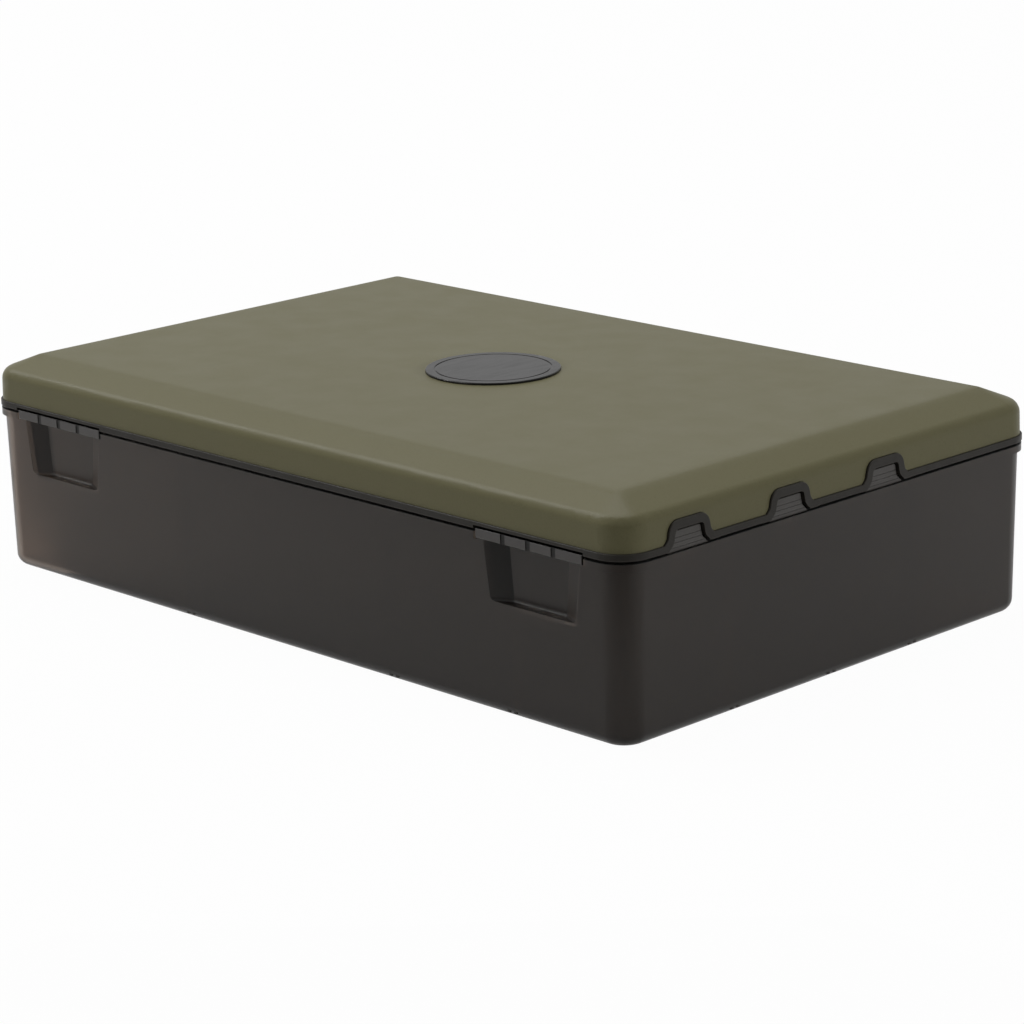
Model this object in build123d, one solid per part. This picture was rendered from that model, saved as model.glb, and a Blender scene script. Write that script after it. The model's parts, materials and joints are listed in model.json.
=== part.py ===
from build123d import *
import os
from math import atan2, cos, radians, sin, tan

# Tackle box: a smoked tub with loose dividers, and a hinged lid of two pieces with two snap latches.
# Millimetres. X runs along the front, the front faces -Y, Z is up, and the origin is the middle of the underside.
# An "offset" is a distance outward from the case outline, which is the lower edge of the lid cover.

# Case outline
case_length = 350.0
case_depth = 223.0
corner_radius = 12.0
edge_radius = 0.4
cut_reach = 12.0

# Tub
tub_height = 66.0
tub_inset = 0.8
tub_draft = 1.0
tub_wall = 2.2
tub_floor = 2.4
tub_bottom_radius = 5.0
flange_proud = 0.6
flange_face = 2.7
flange_slope = 0.6
upstand_setback = 1.6
upstand_end_gap = 1.6

# Lid rim
seam_gap = 0.9
band_height = 2.6
band_proud = 0.8
band_thickness = 2.0
web_reach = 3.6
web_thickness = 0.8
spigot_height = 3.2
spigot_gap = 0.3
seat_gap = 0.1

# Lid cover
cover_wall = 2.0
cover_wall_height = 11.5
cover_draft = 1.5
crown_rise = 6.0
crown_run_side = 14.7
crown_run_front = 13.3
crease_corner_radius = 1.5
shoulder_radius = 5.0
crease_radius = 4.0

# Badge
badge_diameter = 52.5
badge_thickness = 1.4
badge_recess = 0.5
badge_edge_radius = 0.35
badge_ring_diameter = 46.0
badge_ring_width = 0.8
badge_ring_depth = 0.25

# Latches and the finger scoops below them
latch_inset = 44.5
latch_end_gap = 0.8
lip_overlap = 2.05
lip_proud = 0.6
lip_thickness = 1.3
lip_drop = 2.4
bridge_gap = 0.4
bridge_thickness = 0.8
window_gap = 1.0
barb_reach = 1.2
barb_height = 0.7
arm_end_gap = 3.65
arm_thickness = 1.4
pivot_setback = 4.9
pivot_height = 9.0
latch_barrel_radius = 2.0
latch_pin_radius = 1.0
latch_lug_thickness = 2.0
latch_lug_gap = 0.6
lip_groove_width = 2.2
lip_groove_depth = 0.25
lip_groove_pitch = 12.2
lip_groove_count = 3
scoop_width = 47.3
scoop_taper = 2.1
scoop_drop = 24.4
scoop_ceiling = 1.2
scoop_depth = 4.3
scoop_ramp = 9.0
scoop_wall = 2.0
scoop_edge_radius = 1.2

# Hinges
hinge_inset = 75.0
hinge_pin_radius = 1.5
hinge_pin_recess = 0.5
hinge_barrel_radius = 3.2
hinge_barrel_gap = 0.5
hinge_rise = 1.0
hinge_toe = 3.0
knuckle_length = 9.0
knuckle_gap = 0.4
knuckle_count = 5
pin_clearance = 0.05
gusset_angle = 45.0

# Line guides and the notches round them
guide_inset = 32.0
guide_pitch = 51.85
guide_setback = 0.2
guide_thickness = 3.2
guide_height = 7.5
guide_top_width = 12.6
guide_waist_width = 14.6
guide_foot_width = 21.0
guide_flare_rise = 3.0
guide_top_radius = 1.0
guide_flare_radius = 3.0
guide_stem_width = 12.0
guide_stem_depth = 8.0
guide_stem_thickness = 1.4
guide_ridge_count = 3
guide_ridge_pitch = 1.7
guide_ridge_width = 0.6
guide_ridge_depth = 0.2
notch_gap = 0.7
arch_border = 3.2

# Dividers
divider_drop = 6.0
divider_thickness = 1.6
divider_gap = 0.2
channel_rib = 1.2
channel_reach = 1.6
channel_root = 0.6
column_count = 3
spool_bay_width = 54.0
rear_bay_reach = 19.8
cross_bay_depth = 76.0

# Heights and places that follow from the sizes above
half_length = case_length / 2
half_depth = case_depth / 2
rim_z = tub_height
flange_low = rim_z - flange_face
slope_low = flange_low - flange_slope
band_low = rim_z + seam_gap
band_high = band_low + band_height
band_inner = band_proud - band_thickness
upstand_top = band_high - web_thickness - seat_gap
shoulder_z = band_high + cover_wall_height
lid_top = shoulder_z + crown_rise
bridge_low = rim_z + bridge_gap
bridge_top = bridge_low + bridge_thickness
window_top = bridge_top + window_gap
pivot_y = -(half_depth - pivot_setback)
pivot_z = rim_z + pivot_height
hinge_y = half_depth + band_proud + hinge_barrel_radius + hinge_barrel_gap
hinge_z = rim_z + hinge_rise
knuckle_pitch = knuckle_length + knuckle_gap
scoop_top = rim_z - scoop_ceiling
scoop_low = rim_z - scoop_drop
scoop_width_low = scoop_width - 2 * scoop_taper
lip_low = rim_z - lip_drop
latch_width = scoop_width + 2 * lip_overlap
arm_width = scoop_width - 2 * arm_end_gap
latch_x = half_length - latch_inset
hinge_x = half_length - hinge_inset
tub_face_y = -(half_depth - tub_inset)
divider_top = rim_z - divider_drop
inner_radius = tub_bottom_radius - tub_floor
draft_shift = (rim_z - tub_floor) * tan(radians(tub_draft))
latch_xs = {"left": -latch_x, "right": latch_x}
hinge_xs = {"left": -hinge_x, "right": hinge_x}
guide_first_y = guide_inset - half_depth
guide_ys = {name: guide_first_y + i * guide_pitch for i, name in enumerate(("front", "middle", "rear"))}
column_spacing = (case_length - 2 * (tub_inset + tub_wall)) / column_count
column_xs = {"left": -column_spacing / 2, "right": column_spacing / 2}
spool_wall_x = half_length - tub_inset - tub_wall - spool_bay_width
spool_divider_ys = {name: guide_ys[name] + side * guide_pitch / 2 for name, side in (("front", 1), ("rear", -1))}
rear_partition_y = guide_ys["rear"] + rear_bay_reach
cross_divider_y = rear_partition_y - cross_bay_depth


def block(x_span, y_span, z_span):
    """Box between two values on each axis."""
    low = [min(span) for span in (x_span, y_span, z_span)]
    high = [max(span) for span in (x_span, y_span, z_span)]
    middle = [(a + b) / 2 for a, b in zip(low, high)]
    return Pos(*middle) * Box(*[b - a for a, b in zip(low, high)])


def around(middle, width):
    """Span of a width about a middle."""
    return (middle - width / 2, middle + width / 2)


def front(offset):
    """Y of a point at an offset from the case outline, on the front."""
    return -(half_depth + offset)


def rod(x_span, y, z, radius):
    """Round bar along X."""
    length = x_span[1] - x_span[0]
    return Pos(sum(x_span) / 2, y, z) * Rot(0, 90, 0) * Cylinder(radius, length)


def prism(x_span, corners):
    """Straight bar along X between corners given in Y and Z."""
    face = Plane.YZ.offset(x_span[0]) * Polygon(*corners, align=None)
    return extrude(face, x_span[1] - x_span[0], dir=(1, 0, 0))


def outline(offset, z):
    """Case outline moved outward by an offset, at a height."""
    return Plane.XY.offset(z) * RectangleRounded(
        case_length + 2 * offset, case_depth + 2 * offset, corner_radius + offset
    )


def slab(offset, z_low, z_high):
    return extrude(outline(offset, z_low), z_high - z_low)


def ring(outer, inner, z_low, z_high):
    return slab(outer, z_low, z_high) - slab(inner, z_low, z_high)


def soften(body, axis, place):
    """Rounds the edges of the outermost face along an axis: place 0 is the lowest face, -1 the highest."""
    return fillet(body.faces().sort_by(axis)[place].edges(), edge_radius)


# Tub


def tub_offset(z):
    """Offset of the tub's drafted outer face at a height."""
    return -tub_inset - (rim_z - z) * tan(radians(tub_draft))


def tub_block(inset, z_low, bottom_radius):
    """Drafted block that lies inset inside the tub's outer face, from a height up to the rim."""
    low = outline(tub_offset(z_low) - inset, z_low)
    high = outline(tub_offset(rim_z) - inset, rim_z)
    body = loft([low, high], ruled=True)
    return fillet(body.faces().sort_by(Axis.Z)[0].edges(), bottom_radius)


def latch_windows(width, y_span, z_span):
    """Boxes of one width at both latches."""
    boxes = Part()
    for x in latch_xs.values():
        boxes += block(around(x, width), y_span, z_span)
    return boxes


def tub_flange():
    """Flange under the lid's rim, with a sloped underside, cut away at the latches."""
    body = slab(flange_proud, flange_low, rim_z)
    body += loft([outline(tub_offset(slope_low), slope_low), outline(flange_proud, flange_low)], ruled=True)
    window = latch_width + 2 * latch_end_gap
    return body - latch_windows(window, (front(cut_reach), front(-cut_reach)), (slope_low, rim_z))


def scoop_half_width(z):
    """Half the width of a finger scoop's mouth at a height."""
    share = (z - scoop_low) / (scoop_top - scoop_low)
    return (scoop_width_low + share * (scoop_width - scoop_width_low)) / 2


def scoop(grow, y_near, z_top):
    """Finger scoop at x = 0 with ramped ends, enlarged by grow, from y_near to its back."""
    z_low = scoop_low - grow
    y_far = tub_face_y + scoop_depth + grow

    def section(y):
        narrowing = scoop_ramp * (y - tub_face_y - grow) / scoop_depth
        low = scoop_half_width(z_low) - narrowing
        high = scoop_half_width(z_top) - narrowing
        corners = ((-low, z_low), (low, z_low), (high, z_top), (-high, z_top))
        return Plane.XZ.offset(-y) * Polygon(*corners, align=None)

    body = loft([section(y_near), section(y_far)], ruled=True)
    edges = [e for e in body.edges() if e.center().Y > y_near + scoop_edge_radius / 2]
    edges = [e for e in edges if e.center().Z < z_top - scoop_edge_radius / 2]
    return fillet(edges, scoop_edge_radius)


def channel(plane_axis, place, faces, z_span):
    """Two ribs that hold the edge of a divider: it lies across plane_axis at place, and they span faces."""
    ribs = Part()
    for side in (-1, 1):
        near = place + side * (divider_thickness / 2 + divider_gap)
        spans = (near, near + side * channel_rib)
        if plane_axis == "X":
            ribs += block(spans, faces, z_span)
        else:
            ribs += block(faces, spans, z_span)
    return ribs


def tub_channels():
    """Ribs on the tub's walls for the dividers that meet them."""
    root = tub_inset + tub_wall / 2 + draft_shift / 2
    tip = tub_inset + tub_wall + draft_shift + channel_reach
    z_span = (tub_floor - channel_root, divider_top)
    front_span = (front(-root), front(-tip))
    back_span = (half_depth - root, half_depth - tip)
    left_span = (-(half_length - root), -(half_length - tip))
    right_span = (half_length - root, half_length - tip)
    ribs = channel("X", spool_wall_x, front_span, z_span)
    for x in column_xs.values():
        ribs += channel("X", x, front_span, z_span) + channel("X", x, back_span, z_span)
    for y in (*spool_divider_ys.values(), rear_partition_y):
        ribs += channel("Y", y, right_span, z_span)
    for y in (cross_divider_y, rear_partition_y):
        ribs += channel("Y", y, left_span, z_span)
    return ribs


def knuckle_spans(x, parity):
    """X spans of every second knuckle of the hinge at x."""
    middle = (knuckle_count - 1) / 2
    return [
        around(x + (i - middle) * knuckle_pitch, knuckle_length) for i in range(knuckle_count) if i % 2 == parity
    ]


def hinge_bores():
    bores = Part()
    for x in hinge_xs.values():
        span = around(x, knuckle_count * knuckle_pitch)
        bores += rod(span, hinge_y, hinge_z, hinge_pin_radius + pin_clearance)
    return bores


def knuckle(x_span, corners):
    """Knuckle of a hinge: a barrel with a web whose corners are given in Y and Z."""
    return prism(x_span, corners) + rod(x_span, hinge_y, hinge_z, hinge_barrel_radius)


def tub_knuckles():
    """Knuckles on gussets behind the tub."""
    root_y = half_depth - tub_inset - tub_wall / 2
    slope = radians(gusset_angle)
    tip = (hinge_y + hinge_barrel_radius * sin(slope), hinge_z - hinge_barrel_radius * cos(slope))
    corners = ((root_y, rim_z), (hinge_y, rim_z), tip, (root_y, tip[1] - (tip[0] - root_y) * tan(slope)))
    body = Part()
    for x in hinge_xs.values():
        for span in knuckle_spans(x, 0):
            body += knuckle(span, corners)
    return body


def guide_sketch(grow):
    """Face of a line guide, in Y and Z, enlarged by grow."""
    halves = [width / 2 for width in (guide_foot_width, guide_waist_width, guide_top_width)]
    heights = (rim_z, rim_z + guide_flare_rise, rim_z + guide_height)
    right_side = list(zip(halves, heights))
    left_side = [(-half, z) for half, z in reversed(right_side)]
    face = Polygon(*right_side, *left_side, align=None)
    if grow:
        face = offset(face, grow, kind=Kind.INTERSECTION)
    face = fillet(face.vertices().sort_by(Axis.Y)[2:4], guide_flare_radius)
    return fillet(face.vertices().sort_by(Axis.Y)[-2:], guide_top_radius + grow)


def guide_prism(grow, outer, inner):
    """Line guide's face at y = 0, extruded between two offsets on the right side."""
    face = Plane.YZ.offset(half_length + inner) * guide_sketch(grow)
    return extrude(face, outer - inner, dir=(1, 0, 0))


def guide_slots():
    """Slots in the right wall for the line guides' stems."""
    stem_inner = half_length - guide_setback - guide_thickness
    inner = stem_inner - tub_wall
    outer = stem_inner + guide_stem_thickness + seat_gap
    slots = Part()
    for y in guide_ys.values():
        z_low = rim_z - guide_stem_depth - seat_gap
        slots += block((inner, outer), around(y, guide_stem_width + 2 * seat_gap), (z_low, rim_z))
    return slots


def upstand():
    """Low wall on the tub's rim that the lid seats on, open at the latches and the line guides."""
    z_span = (rim_z, upstand_top)
    body = ring(-upstand_setback, -tub_inset - tub_wall, *z_span)
    window = latch_width + 2 * upstand_end_gap
    body -= latch_windows(window, (front(0), front(-cut_reach)), z_span)
    for y in guide_ys.values():
        gap = around(y, guide_foot_width + 2 * notch_gap)
        body -= block((half_length, half_length - cut_reach), gap, z_span)
    return body


def base_tray():
    tray = tub_block(0, 0, tub_bottom_radius) + tub_flange()
    tray -= tub_block(tub_wall, tub_floor, inner_radius)
    tray += tub_channels()
    for x in latch_xs.values():
        tray += Pos(x, 0, 0) * scoop(scoop_wall, tub_face_y + tub_wall / 2, rim_z)
    for x in latch_xs.values():
        tray -= Pos(x, 0, 0) * scoop(0, front(lip_proud), scoop_top)
    tray += upstand() + tub_knuckles()
    return tray - hinge_bores() - guide_slots()


# Line guides


def line_guide(y):
    """Ridged tongue that stands on the rim, with a stem in the tub's wall."""
    outer = -guide_setback
    inner = outer - guide_thickness
    tongue = soften(guide_prism(0, outer, inner), Axis.X, -1)
    stem_x = (half_length + inner, half_length + inner + guide_stem_thickness)
    tongue += block(stem_x, around(0, guide_stem_width), (rim_z - guide_stem_depth, rim_z))
    face_x = half_length + outer
    for i in range(guide_ridge_count):
        z = rim_z + guide_ridge_pitch * (i + 1)
        groove_x = (face_x - guide_ridge_depth, face_x)
        tongue -= block(groove_x, around(0, guide_foot_width), around(z, guide_ridge_width))
    return Pos(0, y, 0) * tongue


# Lid


def lid_knuckles():
    """Knuckles behind the lid's rim, each with a square toe that stops the open lid on the tub's flange."""
    root_y = half_depth + band_proud - band_thickness / 2
    arm_low = band_low + edge_radius
    arm_high = band_high - edge_radius
    arm = ((root_y, arm_low), (hinge_y, arm_low), (hinge_y, arm_high), (root_y, arm_high))
    body = Part()
    for x in hinge_xs.values():
        for span in knuckle_spans(x, 1):
            body += knuckle(span, arm)
            body += block(span, (hinge_y, hinge_y + hinge_toe), (hinge_z - hinge_toe, hinge_z))
    return body


def latch_lugs():
    """Ears inside the lid that hold the latches' pins."""
    y_span = (front(-cover_wall - latch_lug_gap), pivot_y + latch_barrel_radius)
    body = Part()
    for x in latch_xs.values():
        for side in (-1, 1):
            near = x + side * (arm_width / 2 + knuckle_gap)
            span = sorted((near, near + side * latch_lug_thickness))
            body += block(span, y_span, (band_high - web_thickness, pivot_z))
            body += rod(span, pivot_y, pivot_z, latch_barrel_radius)
    return body


def latch_bores():
    bores = Part()
    for x in latch_xs.values():
        span = around(x, arm_width + 2 * knuckle_gap + 4 * latch_lug_thickness)
        bores += rod(span, pivot_y, pivot_z, latch_pin_radius + pin_clearance)
    return bores


def lid_rim():
    rim = slab(band_proud, band_low, band_high)
    rim = soften(soften(rim, Axis.Z, 0), Axis.Z, -1) - slab(band_inner, band_low, band_high)
    rim += ring(band_inner, -web_reach, band_high - web_thickness, band_high)
    rim += ring(-cover_wall - spigot_gap, -web_reach, band_high, band_high + spigot_height)
    window = latch_width + 2 * latch_end_gap
    rim -= latch_windows(window, (front(cut_reach), front(-cut_reach)), (band_low, window_top))
    arm_gap = arm_width + 2 * knuckle_gap
    arm_room = (front(-cover_wall), front(-cut_reach))
    rim -= latch_windows(arm_gap, arm_room, (band_low, pivot_z))
    for y in guide_ys.values():
        arch = soften(guide_prism(notch_gap + arch_border, band_proud, band_inner), Axis.X, -1)
        rim += Pos(0, y, 0) * split(arch, Plane.XY.offset(band_low), keep=Keep.TOP)
        rim -= Pos(0, y, 0) * guide_prism(notch_gap, band_proud + seat_gap, -web_reach - seat_gap)
    return rim + lid_knuckles() + latch_lugs() - hinge_bores() - latch_bores()


def cover_block(inset):
    """The cover's form, lying inset inside its outer face: upright wall, sloped border and flat top."""
    slope_side = atan2(crown_rise, crown_run_side)
    slope_front = atan2(crown_rise, crown_run_front)
    drop = inset * tan((radians(90) - slope_front) / 2)
    z_shoulder = shoulder_z - drop
    z_top = lid_top - inset
    lean = cover_wall_height * tan(radians(cover_draft))
    rise = z_top - z_shoulder
    run_side = inset + lean + rise / tan(slope_side)
    run_front = inset + lean + rise / tan(slope_front)
    top = Plane.XY.offset(z_top) * RectangleRounded(
        case_length - 2 * run_side, case_depth - 2 * run_front, crease_corner_radius
    )
    shoulder = outline(-inset - lean, z_shoulder)
    body = loft([outline(-inset, band_high), shoulder], ruled=True)
    body += loft([shoulder, top], ruled=True)
    return body, z_shoulder, z_top


def edges_at(body, z):
    return [e for e in body.edges() if abs(e.center().Z - z) < seat_gap]


def lid_cover():
    outer, z_shoulder, z_top = cover_block(0)
    outer = fillet(edges_at(outer, z_shoulder), shoulder_radius)
    outer = fillet(edges_at(outer, z_top), crease_radius)
    inner, z_shoulder, _ = cover_block(cover_wall)
    cover = outer - fillet(edges_at(inner, z_shoulder), shoulder_radius - cover_wall)
    for y in guide_ys.values():
        notch = guide_prism(notch_gap + arch_border + seat_gap, band_proud, -web_reach)
        cover -= Pos(0, y, 0) * notch
    seat = Cylinder(badge_diameter / 2 + seat_gap, badge_recess, align=(Align.CENTER, Align.CENTER, Align.MAX))
    return cover - Pos(0, 0, lid_top) * seat


def lid_badge():
    """Plain disc with one ring groove, seated in the lid."""
    disc = Cylinder(badge_diameter / 2, badge_thickness, align=(Align.CENTER, Align.CENTER, Align.MIN))
    disc = fillet(disc.edges().group_by(Axis.Z)[-1], badge_edge_radius)
    groove = Circle(badge_ring_diameter / 2) - Circle(badge_ring_diameter / 2 - badge_ring_width)
    disc -= extrude(Plane.XY.offset(badge_thickness - badge_ring_depth) * groove, badge_ring_depth)
    return Pos(0, 0, lid_top - badge_recess) * disc


# Latches


def latch(x):
    """Snap latch: a lip over the finger scoop, a bridge over the tub's wall, and an arm up to its pin."""
    lip_inner = lip_proud - lip_thickness
    arm_faces = around(pivot_y, arm_thickness)
    body = block(around(x, latch_width), (front(lip_proud), front(lip_inner)), (lip_low, bridge_top))
    body = soften(body, Axis.Y, 0)
    body += block(around(x, latch_width), (front(lip_inner), arm_faces[1]), (bridge_low, bridge_top))
    body += block(around(x, arm_width), arm_faces, (bridge_low, pivot_z))
    body += rod(around(x, arm_width), pivot_y, pivot_z, latch_barrel_radius)
    barb_top = lip_low + barb_height
    barb = ((front(lip_inner), lip_low), (front(lip_inner - barb_reach), barb_top), (front(lip_inner), barb_top))
    body += prism(around(x, arm_width), barb)
    for i in range(lip_groove_count):
        groove_x = x + (i - (lip_groove_count - 1) / 2) * lip_groove_pitch
        groove_y = (front(lip_proud), front(lip_proud - lip_groove_depth))
        body -= block(around(groove_x, lip_groove_width), groove_y, (lip_low, bridge_top))
    return body - latch_bores()


# Dividers


def divider(x_span, y_span):
    """Upright plate on the tub's floor, trimmed to the tub's inside and clear of the finger scoops."""
    plate = block(x_span, y_span, (tub_floor, divider_top))
    plate &= tub_block(tub_wall + divider_gap, tub_floor, inner_radius)
    for x in latch_xs.values():
        plate -= Pos(x, 0, 0) * scoop(scoop_wall + divider_gap, tub_face_y + tub_wall / 2, rim_z)
    return plate


def plate_faces(place):
    """The two faces of a divider that lies at a place."""
    return around(place, divider_thickness)


def beside(place, side):
    """Span of a channel's ribs on one side of the divider at a place."""
    face = place + side * divider_thickness / 2
    return (face, face + side * channel_reach)


def end_at(place, side):
    """Where a divider's end stops, on one side of the divider at a place."""
    return place + side * (divider_thickness / 2 + divider_gap)


def dividers():
    z_span = (tub_floor, divider_top)
    left, right = column_xs["left"], column_xs["right"]
    partition_front = end_at(rear_partition_y, -1)
    partition_back = end_at(rear_partition_y, 1)
    nodes = {}

    partition = divider((-half_length, half_length), plate_faces(rear_partition_y))
    for x in (left, right, spool_wall_x):
        partition += channel("X", x, beside(rear_partition_y, -1), z_span)
    for x in (left, right):
        partition += channel("X", x, beside(rear_partition_y, 1), z_span)
    nodes["rear_partition"] = partition

    for name, x in column_xs.items():
        column = divider(plate_faces(x), (-half_depth, partition_front))
        column += channel("Y", cross_divider_y, beside(x, -1 if x > 0 else 1), z_span)
        if name == "left":
            column += channel("Y", cross_divider_y, beside(x, -1), z_span)
        nodes[f"column_divider_{name}"] = column
        nodes[f"rear_divider_{name}"] = divider(plate_faces(x), (partition_back, half_depth))

    bay_wall = divider(plate_faces(spool_wall_x), (-half_depth, partition_front))
    for name, y in spool_divider_ys.items():
        bay_wall += channel("Y", y, beside(spool_wall_x, 1), z_span)
        nodes[f"spool_divider_{name}"] = divider((end_at(spool_wall_x, 1), half_length), plate_faces(y))
    nodes["spool_bay_wall"] = bay_wall

    cross_faces = plate_faces(cross_divider_y)
    nodes["cross_divider_left"] = divider((-half_length, end_at(left, -1)), cross_faces)
    nodes["cross_divider_middle"] = divider((end_at(left, 1), end_at(right, -1)), cross_faces)
    return nodes


# Assembly

nodes = {"base_tray": base_tray(), "lid_rim": lid_rim(), "lid_cover": lid_cover(), "lid_badge": lid_badge()}
for name, x in latch_xs.items():
    pin_span = around(x, arm_width + 2 * knuckle_gap + 2 * latch_lug_thickness)
    nodes[f"latch_{name}"] = latch(x)
    nodes[f"latch_pin_{name}"] = rod(pin_span, pivot_y, pivot_z, latch_pin_radius)
for name, x in hinge_xs.items():
    pin_span = around(x, knuckle_count * knuckle_pitch - knuckle_gap - 2 * hinge_pin_recess)
    nodes[f"hinge_pin_{name}"] = rod(pin_span, hinge_y, hinge_z, hinge_pin_radius)
for name, y in guide_ys.items():
    nodes[f"line_guide_{name}"] = line_guide(y)
nodes.update(dividers())

os.makedirs("parts", exist_ok=True)
for name, solid in nodes.items():
    export_step(solid, f"parts/{name}.step")
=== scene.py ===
import json
from math import cos, pi, radians, sin

import bpy
from mathutils import Matrix, Vector

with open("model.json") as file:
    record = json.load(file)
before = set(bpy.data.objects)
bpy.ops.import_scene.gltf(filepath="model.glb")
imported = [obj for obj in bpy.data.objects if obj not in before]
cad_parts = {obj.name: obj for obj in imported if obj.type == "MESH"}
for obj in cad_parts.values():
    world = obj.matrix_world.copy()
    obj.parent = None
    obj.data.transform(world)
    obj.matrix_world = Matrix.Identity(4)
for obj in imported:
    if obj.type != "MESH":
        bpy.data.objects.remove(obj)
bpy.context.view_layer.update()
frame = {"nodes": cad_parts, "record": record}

# Tackle box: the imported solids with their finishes, a pale floor, soft studio light and the photo's camera.
# Metres, in the frame of the solids: X along the front, the front faces -Y, Z up.

scene = bpy.context.scene

# Camera
camera_yaw = radians(45.677)
camera_pitch = radians(15.643)
camera_roll = radians(-1.35)
camera_distance = 1.35623
camera_aim = (0.00534, 0.02863)
sensor_width = 36.0
lens_length = 121.11
toward_camera = Vector((sin(camera_yaw), -cos(camera_yaw), 0.0))
camera_right = Vector((cos(camera_yaw), sin(camera_yaw), 0.0))

# Floor and surroundings, with the share of plain white that each kind of ray sees there
floor_z = -0.0003
floor_radius = 9.0
floor_corners = 48
floor_albedo = 0.6
floor_white = {"Is Camera Ray": 0.975, "Is Glossy Ray": 0.66, "Is Transmission Ray": 0.1}
world_white = {"Is Camera Ray": 1.0, "Is Glossy Ray": 0.45, "Is Transmission Ray": 0.3}
world_fill = 0.25

# Lamps, which all face one point
lights = {
    "top_light": {"place": (-1.2, 0.5, 3.8), "size": (3.0, 3.0), "watts": 84.0},
    "left_light": {"place": (-2.0, -0.6, 2.1), "size": (1.2, 1.2), "watts": 30.0},
    "front_light": {"place": (-0.9, -1.4, 0.5), "size": (0.8, 0.8), "watts": 3.0, "gloss": False},
    "right_light": {"place": (1.4, 0.9, 0.25), "size": (2.0, 0.4), "watts": 7.5, "gloss": False},
}
light_aim = (0.0, 0.0, 0.05)

# Dark cards that the camera doesn't see.
# Each end is a distance toward the camera and the places of its two sides.
card_z = -0.0001
front_card_sizes = {"near": (0.345, -0.13, 0.1), "far": (2.2, -2.2, 2.0), "height": 1.2, "albedo": 0.3}
# Painted shadow: a near black card under and behind the box, seen only through the smoked plastic, standing
# for the box's shadow on the floor.
painted_shadow_card_sizes = {"near": (0.21, -0.115, 0.9), "far": (-1.2, -0.46, 0.9), "height": 0.5, "albedo": 0.02}

# Places where a finish changes: each pair is where the change starts and where it is full
# Painted shade: the smoked plastic goes near black above this height, in the seam that the lid's band shades.
painted_seam_shade_z = (0.0657, 0.0660)
crown_z = (0.0825, 0.0845)
# Painted shade: the latches go dark and dull beyond this depth, in the grooves of their front faces.
painted_groove_shade_y = (-0.1120, -0.1119)

# Finger scoops: their middle, then pairs for the painted shade in them, by place and by the way that a face
# looks
scoop_x = 0.1305
scoop_aside = (0.0265, 0.0255)
scoop_z = (0.0405, 0.0412)
scoop_slope_y = (-0.1109, -0.1104)
scoop_slope_turn = (0.05, 0.4)
scoop_back_y = (-0.1076, -0.1070)
scoop_back_turn = (-0.94, -0.99)
scoop_back_most = 0.35
scoop_end_y = (-0.1048, -0.1052)

# Edges: reach of the soft creases round the lid's crown, the turn of the normal at a full edge, and samples
crown_softness = 0.008
edge_turn = 0.9
edge_samples = 4

# Range of most values of a noise
noise_span = (0.3, 0.7)

# Gloss of plain plastic, and the lower gloss of the painted shade in the finger scoops and in the latches'
# grooves
plain_specular = 0.5
scoop_shade_specular = 0.15
groove_shade_specular = 0.1

# Numbers of the mix node's two inputs and its result, by kind of value
mix_sockets = {"RGBA": (6, 7, 2), "VECTOR": (4, 5, 1)}

# Smoothing of the solids' meshes
weld_distance = 1e-6
crease_angle = radians(20)
flat_weight = 100


def rgb(red, green, blue):
    return (red, green, blue, 1.0)


def grey(level):
    return rgb(level, level, level)


# Node helpers


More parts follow.
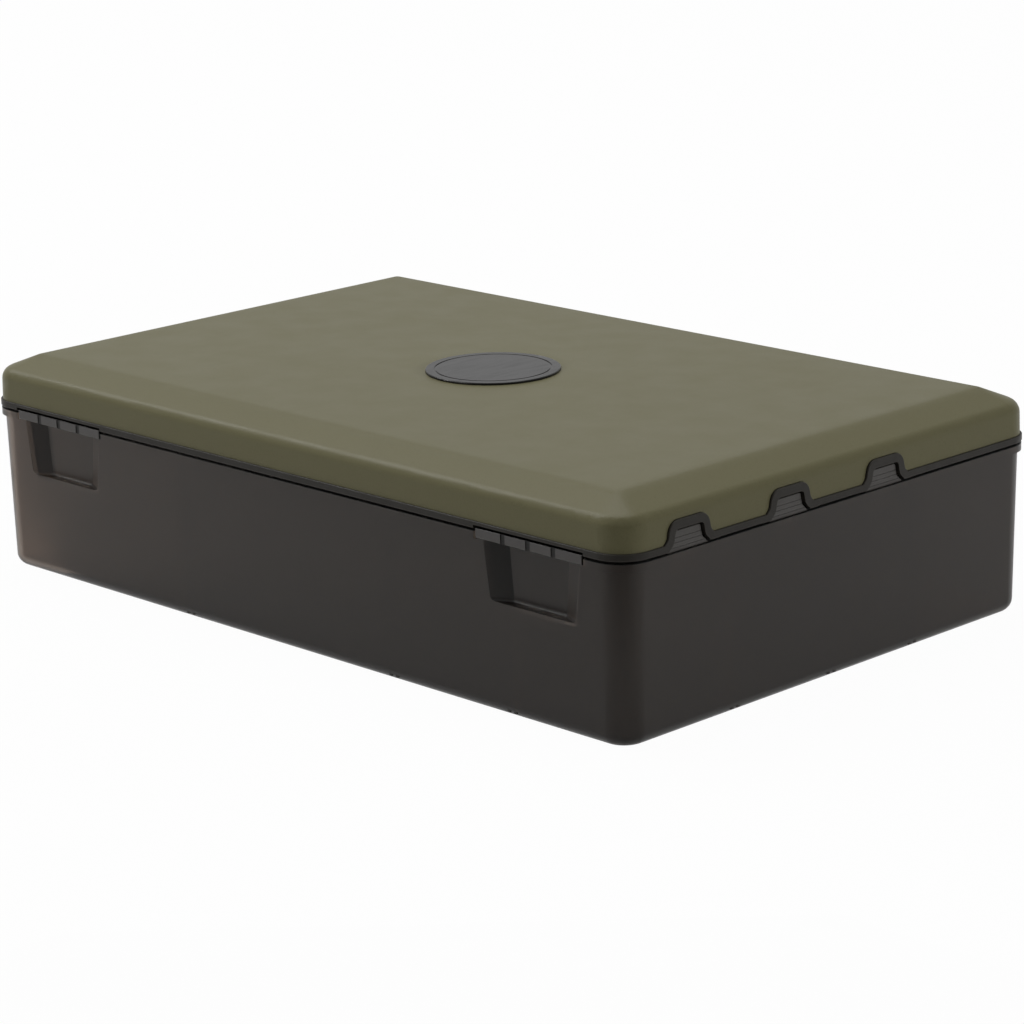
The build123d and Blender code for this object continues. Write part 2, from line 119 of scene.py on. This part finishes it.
class Finish:
    """A node material under construction: its principled shader and short ways to add nodes."""

    def __init__(self, name, **inputs):
        self.material = bpy.data.materials.new(name)
        self.material.use_nodes = True
        self.tree = self.material.node_tree
        self.shader = self.tree.nodes["Principled BSDF"]
        self.place = self.add("ShaderNodeTexCoord").outputs["Object"]
        for socket, value in inputs.items():
            self.shader.inputs[socket.replace("_", " ")].default_value = value

    def add(self, kind, links=(), values=(), **settings):
        """New node with its settings, socket values and incoming links."""
        node = self.tree.nodes.new(kind)
        for key, value in settings.items():
            setattr(node, key, value)
        for socket, value in dict(values).items():
            node.inputs[socket].default_value = value
        for socket, source in dict(links).items():
            self.tree.links.new(source, node.inputs[socket])
        return node

    def link(self, source, socket):
        self.tree.links.new(source, self.shader.inputs[socket])

    def split(self, vector):
        """Sockets of a vector, by axis."""
        return self.add("ShaderNodeSeparateXYZ", {"Vector": vector}).outputs

    def normal(self):
        return self.add("ShaderNodeNewGeometry").outputs["Normal"]

    def rounded(self, reach):
        """Normal that rounds off the edges within a reach."""
        return self.add("ShaderNodeBevel", values={"Radius": reach}, samples=edge_samples).outputs["Normal"]

    def noise(self, cells, detail=2.0, stretch=(1.0, 1.0, 1.0)):
        """Noise from 0 to 1, with a number of cells per metre and a stretch along each axis."""
        mapped = self.add("ShaderNodeMapping", {"Vector": self.place}, {"Scale": stretch})
        made = self.add(
            "ShaderNodeTexNoise", {"Vector": mapped.outputs["Vector"]}, {"Scale": cells, "Detail": detail}
        )
        return made.outputs["Fac"]

    def ranged(self, source, low, high, start=0.0, end=1.0):
        """A value moved from start..end to low..high."""
        node = self.add(
            "ShaderNodeMapRange",
            {"Value": source},
            {"From Min": start, "From Max": end, "To Min": low, "To Max": high},
        )
        return node.outputs["Result"]

    def share(self, source, start, full):
        """0 up to the start of a change and 1 from where it is full."""
        return self.ranged(source, 0.0, 1.0, start, full)

    def maths(self, operation, *values):
        """Result of one operation on numbers and sockets."""
        node = self.add("ShaderNodeMath", operation=operation)
        for socket, value in zip(node.inputs, values):
            if isinstance(value, float):
                socket.default_value = value
            else:
                self.tree.links.new(value, socket)
        return node.outputs["Value"]

    def product(self, first, *others):
        """Shares multiplied together."""
        total = first
        for other in others:
            total = self.maths("MULTIPLY", total, other)
        return total

    def mixed(self, share, first, second, kind="RGBA"):
        """Colour or vector between two values or sockets."""
        first_socket, second_socket, result = mix_sockets[kind]
        node = self.add("ShaderNodeMix", {"Factor": share}, data_type=kind)
        for socket, value in ((first_socket, first), (second_socket, second)):
            if isinstance(value, tuple):
                node.inputs[socket].default_value = value
            else:
                self.tree.links.new(value, node.inputs[socket])
        return node.outputs[result]

    def worn(self, body, tint, reach, most):
        """Body colour with a lighter tint on its outer and inner edges."""
        normals = {0: self.rounded(reach), 1: self.normal()}
        dot = self.add("ShaderNodeVectorMath", normals, operation="DOT_PRODUCT")
        edge = self.share(dot.outputs["Value"], 1.0, edge_turn)
        return self.mixed(self.ranged(edge, 0.0, most), body, tint)

    def gloss(self, source, low, high, span=noise_span):
        """Roughness from low to high over a noise."""
        self.link(self.ranged(source, low, high, *span), "Roughness")

    def bump(self, source, depth, strength, normal=None):
        node = self.add("ShaderNodeBump", {"Height": source}, {"Distance": depth, "Strength": strength})
        if normal:
            self.tree.links.new(normal, node.inputs["Normal"])
        self.link(node.outputs["Normal"], "Normal")


# Finishes


def olive_finish():
    """Matt lid: faint clouds, fine dark specks, worn edges, and soft creases round the crown."""
    made = Finish("olive_plastic", Specular_IOR_Level=0.15, IOR=1.46)
    cloudy = made.share(made.noise(cells=9), start=0.25, full=0.75)
    body = made.mixed(cloudy, rgb(0.131, 0.122, 0.064), rgb(0.135, 0.126, 0.067))
    specks = made.ranged(made.noise(cells=1500, detail=1), low=0.0, high=0.35, start=0.55, end=0.75)
    body = made.mixed(specks, body, rgb(0.100, 0.093, 0.048))
    made.link(made.worn(body, rgb(0.175, 0.166, 0.100), reach=0.0012, most=0.5), "Base Color")
    made.gloss(made.noise(cells=60, detail=3), low=0.355, high=0.41)
    on_crown = made.share(made.split(made.place)["Z"], *crown_z)
    softened = made.mixed(on_crown, made.normal(), made.rounded(crown_softness), kind="VECTOR")
    made.bump(made.noise(cells=1900), depth=0.00006, strength=0.5, normal=softened)
    return made.material


def painted_scoop_shade(made):
    """0 to 1: painted shade in the finger scoops, most on slopes that look up or to the right, less on the
    back.
    """
    place = made.split(made.place)
    looks = made.split(made.normal())
    slopes = made.product(
        made.share(place["Y"], *scoop_slope_y),
        made.share(made.maths("MAXIMUM", looks["X"], looks["Z"]), *scoop_slope_turn),
    )
    back = made.product(
        made.share(place["Y"], *scoop_back_y),
        made.ranged(looks["Y"], 0.0, scoop_back_most, *scoop_back_turn),
    )
    from_middle = made.maths("SUBTRACT", made.maths("ABSOLUTE", place["X"]), scoop_x)
    return made.product(
        made.share(made.maths("ABSOLUTE", from_middle), *scoop_aside),
        made.share(place["Z"], *scoop_z),
        made.share(place["Y"], *scoop_end_y),
        made.maths("MAXIMUM", slopes, back),
    )


def smoked_finish(name, tint, low, high):
    """See-through plastic with uneven gloss, darker with painted shade in the finger scoops and in the seam
    under the lid.
    """
    made = Finish(name, IOR=1.33, Transmission_Weight=0.95)
    shade = painted_scoop_shade(made)
    # Painted shade: the finger scoops' faces go to a near black brown and lose most of their gloss.
    body = made.mixed(shade, tint, rgb(0.06, 0.047, 0.038))
    # Painted shade in the seam under the lid: near black above the tub's rim line.
    painted_seam_shade = made.share(made.split(made.place)["Z"], *painted_seam_shade_z)
    made.link(made.mixed(painted_seam_shade, body, grey(0.004)), "Base Color")
    made.link(made.ranged(shade, plain_specular, scoop_shade_specular), "Specular IOR Level")
    made.gloss(made.noise(cells=45, detail=4), low, high)
    made.bump(made.noise(cells=40), depth=0.00004, strength=0.06)
    return made.material


def rim_finish():
    """Dark satin band with worn edges."""
    made = Finish("rim_plastic", Specular_IOR_Level=0.25, IOR=1.42)
    body = made.mixed(made.noise(cells=300), rgb(0.018, 0.016, 0.013), rgb(0.025, 0.022, 0.018))
    made.link(made.worn(body, rgb(0.060, 0.056, 0.047), reach=0.0006, most=0.6), "Base Color")
    made.gloss(made.noise(cells=120, detail=3), low=0.36, high=0.5)
    made.bump(made.noise(cells=1600), depth=0.00004, strength=0.4)
    return made.material


def latch_finish():
    """Lighter plastic, with painted shade that makes it dull and dark in the grooves of its front face."""
    made = Finish("latch_plastic", IOR=1.46, Transmission_Weight=0.3)
    body = made.mixed(made.noise(cells=220), rgb(0.048, 0.042, 0.038), rgb(0.060, 0.053, 0.048))
    body = made.worn(body, rgb(0.085, 0.079, 0.075), reach=0.0005, most=0.5)
    # Painted shade in the grooves: dark colour and low gloss.
    painted_groove_shade = made.share(made.split(made.place)["Y"], *painted_groove_shade_y)
    made.link(made.mixed(painted_groove_shade, body, rgb(0.012, 0.011, 0.009)), "Base Color")
    made.link(made.ranged(painted_groove_shade, plain_specular, groove_shade_specular), "Specular IOR Level")
    made.gloss(made.noise(cells=150, detail=3), low=0.28, high=0.38)
    made.bump(made.noise(cells=900), depth=0.00003, strength=0.35)
    return made.material


def guide_finish():
    """Grey plastic with worn edges and a fine grain."""
    made = Finish("guide_plastic", IOR=1.44)
    body = made.mixed(made.noise(cells=400), rgb(0.042, 0.038, 0.034), rgb(0.055, 0.050, 0.045))
    made.link(made.worn(body, rgb(0.080, 0.076, 0.070), reach=0.0005, most=0.6), "Base Color")
    made.gloss(made.noise(cells=200, detail=3), low=0.36, high=0.5)
    made.bump(made.noise(cells=1800), depth=0.00004, strength=0.4)
    return made.material


def badge_finish():
    """Glossy disc with fine scuffs along Y."""
    made = Finish("badge_plastic", Specular_IOR_Level=0.3, IOR=1.42)
    body = made.mixed(made.noise(cells=160, detail=3), rgb(0.006, 0.006, 0.006), rgb(0.012, 0.011, 0.011))
    made.link(made.worn(body, rgb(0.090, 0.086, 0.082), reach=0.0004, most=0.5), "Base Color")
    scuffs = made.noise(cells=420, detail=3, stretch=(1.0, 0.12, 1.0))
    made.gloss(scuffs, low=0.14, high=0.26, span=(0.35, 0.7))
    made.bump(scuffs, depth=0.00001, strength=0.3)
    return made.material


def steel_finish():
    """Wire with fine drawing marks along X."""
    made = Finish("pin_steel", Metallic=1.0)
    drawn = made.noise(cells=3000, stretch=(0.03, 1.0, 1.0))
    made.link(made.mixed(drawn, rgb(0.47, 0.47, 0.46), rgb(0.62, 0.62, 0.61)), "Base Color")
    made.gloss(drawn, low=0.24, high=0.42)
    made.bump(drawn, depth=0.00001, strength=0.4)
    return made.material


def dress_pieces():
    """Give each solid the finish of its slot, and smooth its mesh between the creases."""
    finishes = {
        "olive_plastic": olive_finish(),
        "smoked_plastic": smoked_finish("smoked_plastic", rgb(0.28, 0.225, 0.187), low=0.28, high=0.32),
        "divider_plastic": smoked_finish("divider_plastic", rgb(0.14, 0.118, 0.103), low=0.19, high=0.25),
        "rim_plastic": rim_finish(),
        "latch_plastic": latch_finish(),
        "guide_plastic": guide_finish(),
        "badge_plastic": badge_finish(),
        "pin_steel": steel_finish(),
    }
    for part in frame["record"]["subparts"]:
        piece = frame["nodes"][part["node"]]
        piece.data.materials.clear()
        piece.data.materials.append(finishes[part["material_slot"]])
        for face in piece.data.polygons:
            face.use_smooth = True
        weld = piece.modifiers.new("weld", "WELD")
        weld.merge_threshold = weld_distance
        crease = piece.modifiers.new("crease", "EDGE_SPLIT")
        crease.split_angle = crease_angle
        flat = piece.modifiers.new("flat", "WEIGHTED_NORMAL")
        flat.weight = flat_weight
        flat.keep_sharp = True


# Studio


def light_paths(tree, shares):
    """The share for rays from the camera, off gloss and through clear pieces, and 0 on the rest."""
    path = tree.nodes.new("ShaderNodeLightPath")
    total = None
    for kind, share in shares.items():
        scaled = tree.nodes.new("ShaderNodeMath")
        scaled.operation = "MULTIPLY"
        scaled.inputs[1].default_value = share
        tree.links.new(path.outputs[kind], scaled.inputs[0])
        if total:
            most = tree.nodes.new("ShaderNodeMath")
            most.operation = "MAXIMUM"
            tree.links.new(total, most.inputs[0])
            tree.links.new(scaled.outputs["Value"], most.inputs[1])
            scaled = most
        total = scaled.outputs["Value"]
    return total


def white_world():
    """Surroundings that look white, and light the pieces only faintly."""
    world = bpy.data.worlds.new("studio")
    scene.world = world
    world.use_nodes = True
    tree = world.node_tree
    background = tree.nodes["Background"]
    background.inputs["Color"].default_value = grey(1.0)
    strength = tree.nodes.new("ShaderNodeMapRange")
    strength.inputs["To Min"].default_value = world_fill
    strength.inputs["To Max"].default_value = 1.0
    tree.links.new(light_paths(tree, world_white), strength.inputs["Value"])
    tree.links.new(strength.outputs["Result"], background.inputs["Strength"])


def pale_floor():
    """Round floor that looks almost white and keeps a faint shadow of the box."""
    mesh = bpy.data.meshes.new("floor")
    turns = [2 * pi * i / floor_corners for i in range(floor_corners)]
    corners = [(floor_radius * cos(turn), floor_radius * sin(turn), floor_z) for turn in turns]
    mesh.from_pydata(corners, [], [tuple(range(floor_corners))])
    floor = bpy.data.objects.new("floor", mesh)
    scene.collection.objects.link(floor)
    material = bpy.data.materials.new("floor")
    material.use_nodes = True
    tree = material.node_tree
    tree.nodes.clear()
    diffuse = tree.nodes.new("ShaderNodeBsdfDiffuse")
    diffuse.inputs["Color"].default_value = grey(floor_albedo)
    glow = tree.nodes.new("ShaderNodeEmission")
    glow.inputs["Color"].default_value = grey(1.0)
    glow.inputs["Strength"].default_value = 1.0
    mix = tree.nodes.new("ShaderNodeMixShader")
    tree.links.new(light_paths(tree, floor_white), mix.inputs["Fac"])
    tree.links.new(diffuse.outputs["BSDF"], mix.inputs[1])
    tree.links.new(glow.outputs["Emission"], mix.inputs[2])
    out = tree.nodes.new("ShaderNodeOutputMaterial")
    tree.links.new(mix.outputs["Shader"], out.inputs["Surface"])
    mesh.materials.append(material)


def area_light(name, place, size, watts, gloss=True):
    """Lamp that faces the aim. Without gloss it leaves no highlight."""
    data = bpy.data.lights.new(name, "AREA")
    data.shape = "RECTANGLE"
    data.size, data.size_y = size
    data.energy = watts
    lamp = bpy.data.objects.new(name, data)
    scene.collection.objects.link(lamp)
    lamp.location = place
    lamp.rotation_mode = "QUATERNION"
    lamp.rotation_quaternion = (Vector(light_aim) - Vector(place)).to_track_quat("-Z", "Y")
    lamp.visible_glossy = gloss


def dark_card(name, near, far, height, albedo):
    """Dark card that lies on the floor and stands up at its far end."""
    mesh = bpy.data.meshes.new(name)
    corners = []
    for (distance, left, right), z in ((near, card_z), (far, card_z), (far, height)):
        middle = toward_camera * distance + Vector((0.0, 0.0, z))
        corners += [middle + left * camera_right, middle + right * camera_right]
    mesh.from_pydata(corners, [], [(0, 1, 3, 2), (2, 3, 5, 4)])
    card = bpy.data.objects.new(name, mesh)
    scene.collection.objects.link(card)
    card.visible_camera = False
    card.visible_shadow = False
    material = bpy.data.materials.new(name)
    material.use_nodes = True
    shader = material.node_tree.nodes["Principled BSDF"]
    shader.inputs["Base Color"].default_value = grey(albedo)
    shader.inputs["Specular IOR Level"].default_value = 0.0
    mesh.materials.append(material)
    return card


def dark_cards():
    """A card before the box, for gloss and bounced light, and a painted shadow card under and behind it, seen
    only through it.
    """
    front_card = dark_card("front_card", **front_card_sizes)
    front_card.visible_transmission = False
    # Painted shadow of the box, which only rays through the smoked plastic see.
    painted_shadow_card = dark_card("painted_shadow_card", **painted_shadow_card_sizes)
    painted_shadow_card.visible_diffuse = False
    painted_shadow_card.visible_glossy = False


def photo_camera():
    """Camera with the place, turn and lens fitted to the photo."""
    away = cos(camera_pitch)
    back = Vector((sin(camera_yaw) * away, -cos(camera_yaw) * away, sin(camera_pitch)))
    up = back.cross(camera_right)
    rolled_right = cos(camera_roll) * camera_right + sin(camera_roll) * up
    rolled_up = cos(camera_roll) * up - sin(camera_roll) * camera_right
    data = bpy.data.cameras.new("camera")
    data.sensor_width = sensor_width
    data.sensor_fit = "HORIZONTAL"
    data.lens = lens_length
    camera = bpy.data.objects.new("camera", data)
    scene.collection.objects.link(camera)
    turn = Matrix((rolled_right, rolled_up, back)).transposed()
    camera.rotation_mode = "QUATERNION"
    camera.rotation_quaternion = turn.to_quaternion()
    camera.location = turn @ Vector((*camera_aim, camera_distance))
    scene.camera = camera


dress_pieces()
white_world()
pale_floor()
dark_cards()
for name, light in lights.items():
    area_light(name, **light)
photo_camera()
scene.view_settings.view_transform = "Standard"
